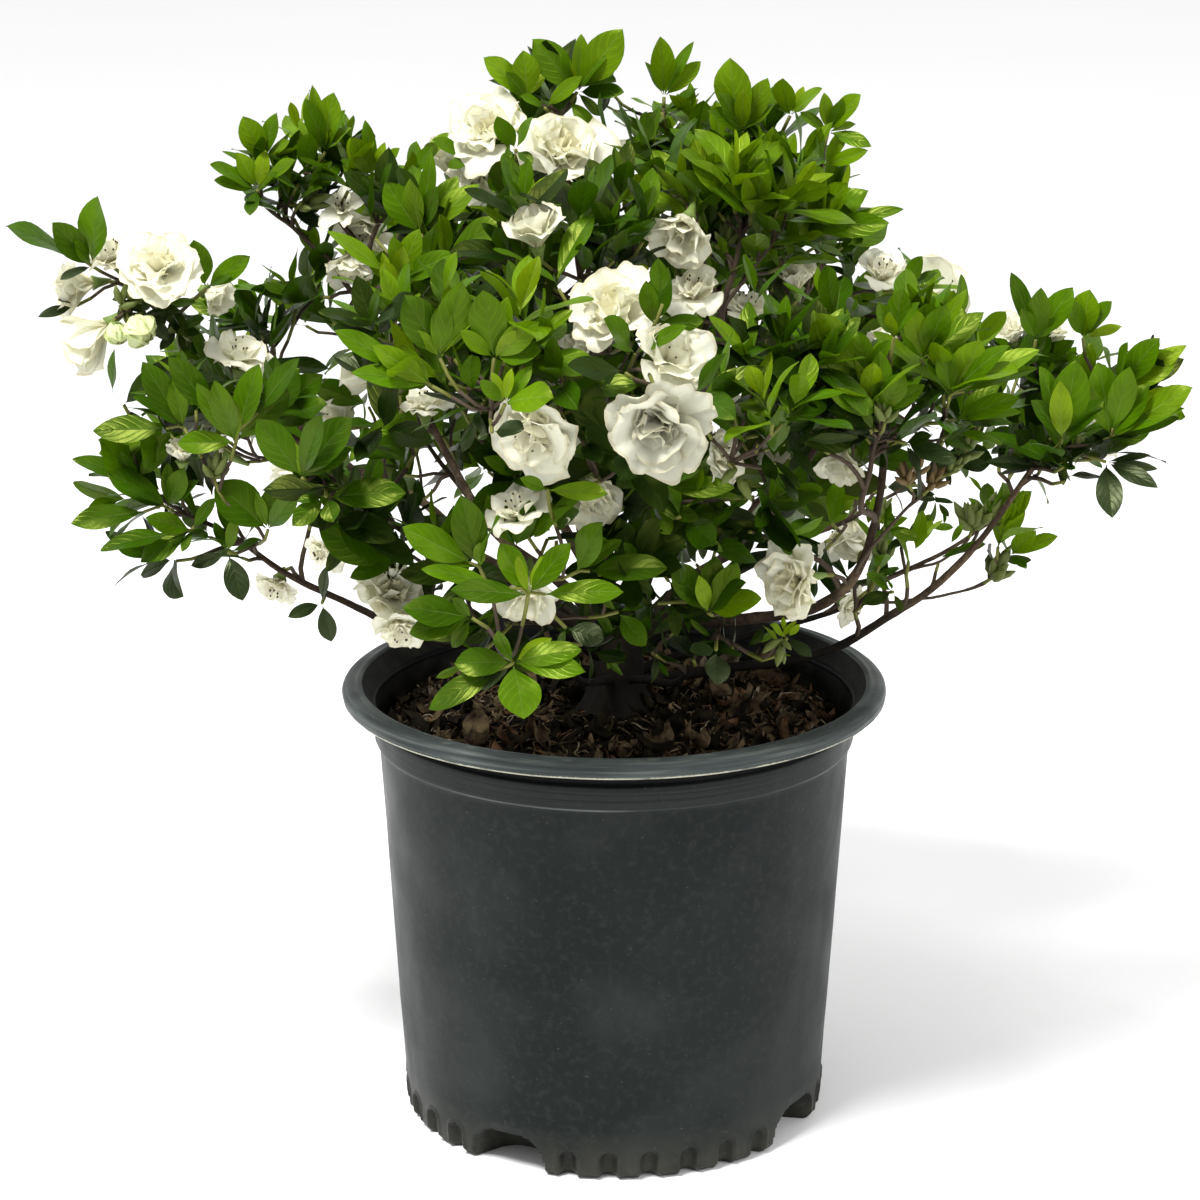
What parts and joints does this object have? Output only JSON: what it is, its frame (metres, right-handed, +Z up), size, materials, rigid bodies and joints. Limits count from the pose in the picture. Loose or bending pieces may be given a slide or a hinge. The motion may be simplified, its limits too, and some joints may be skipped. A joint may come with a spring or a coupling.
{
  "type": "potted azalea shrub",
  "caption": "Evergreen azalea shrub with spreading boughs and leafy masses, growing from a short stem in a round tapered nursery pot.",
  "frame": {"origin": "middle of the pot's flat underside", "axes": "+Z up along the pot's axis, -Y towards the plant's front, +X to the right of someone who looks at the front"},
  "size_m": [0.5904, 0.4865, 0.5664],
  "materials": {
    "pot_plastic": "satin, lightly scuffed",
    "soil": "moist shredded bark potting mix",
    "bark": "rough thin bark",
    "leaf": "waxy leaf"
  },
  "bodies": {
    "root": {"bough_back_crest": "bark", "bough_back_left": "bark", "bough_back_low_left": "bark", "bough_back_low_right": "bark", "bough_back_middle": "bark", "bough_back_right": "bark", "bough_centre": "bark", "bough_far_left": "bark", "bough_far_right": "bark", "bough_front_low": "bark", "bough_front_right_low": "bark", "bough_left_front": "bark", "bough_left_low": "bark", "bough_left_middle": "bark", "bough_right_buds": "bark", "bough_right_front": "bark", "bough_right_low": "bark", "bough_top_left": "bark", "bough_top_right": "bark", "bough_upper_left": "bark", "foliage_back_crest": "leaf", "foliage_back_far_left": "leaf", "foliage_back_far_right": "leaf", "foliage_back_left": "leaf", "foliage_back_low": "leaf", "foliage_back_low_left": "leaf", "foliage_back_low_right": "leaf", "foliage_back_middle": "leaf", "foliage_back_right": "leaf", "foliage_back_top": "leaf", "foliage_centre": "leaf", "foliage_centre_left": "leaf", "foliage_centre_low": "leaf", "foliage_centre_right": "leaf", "foliage_centre_top": "leaf", "foliage_far_left": "leaf", "foliage_far_right": "leaf", "foliage_front_low": "leaf", "foliage_front_right_low": "leaf", "foliage_inner": "leaf", "foliage_left_front": "leaf", "foliage_left_inner": "leaf", "foliage_left_low": "leaf", "foliage_left_middle": "leaf", "foliage_left_shoulder": "leaf", "foliage_right_buds": "leaf", "foliage_right_centre_low": "leaf", "foliage_right_front": "leaf", "foliage_right_low": "leaf", "foliage_right_shoulder": "leaf", "foliage_top_left": "leaf", "foliage_top_middle": "leaf", "foliage_top_right": "leaf", "foliage_upper_left": "leaf", "pot": "pot_plastic", "root_ball": "soil", "stem": "bark"}
  },
  "joints": []
}
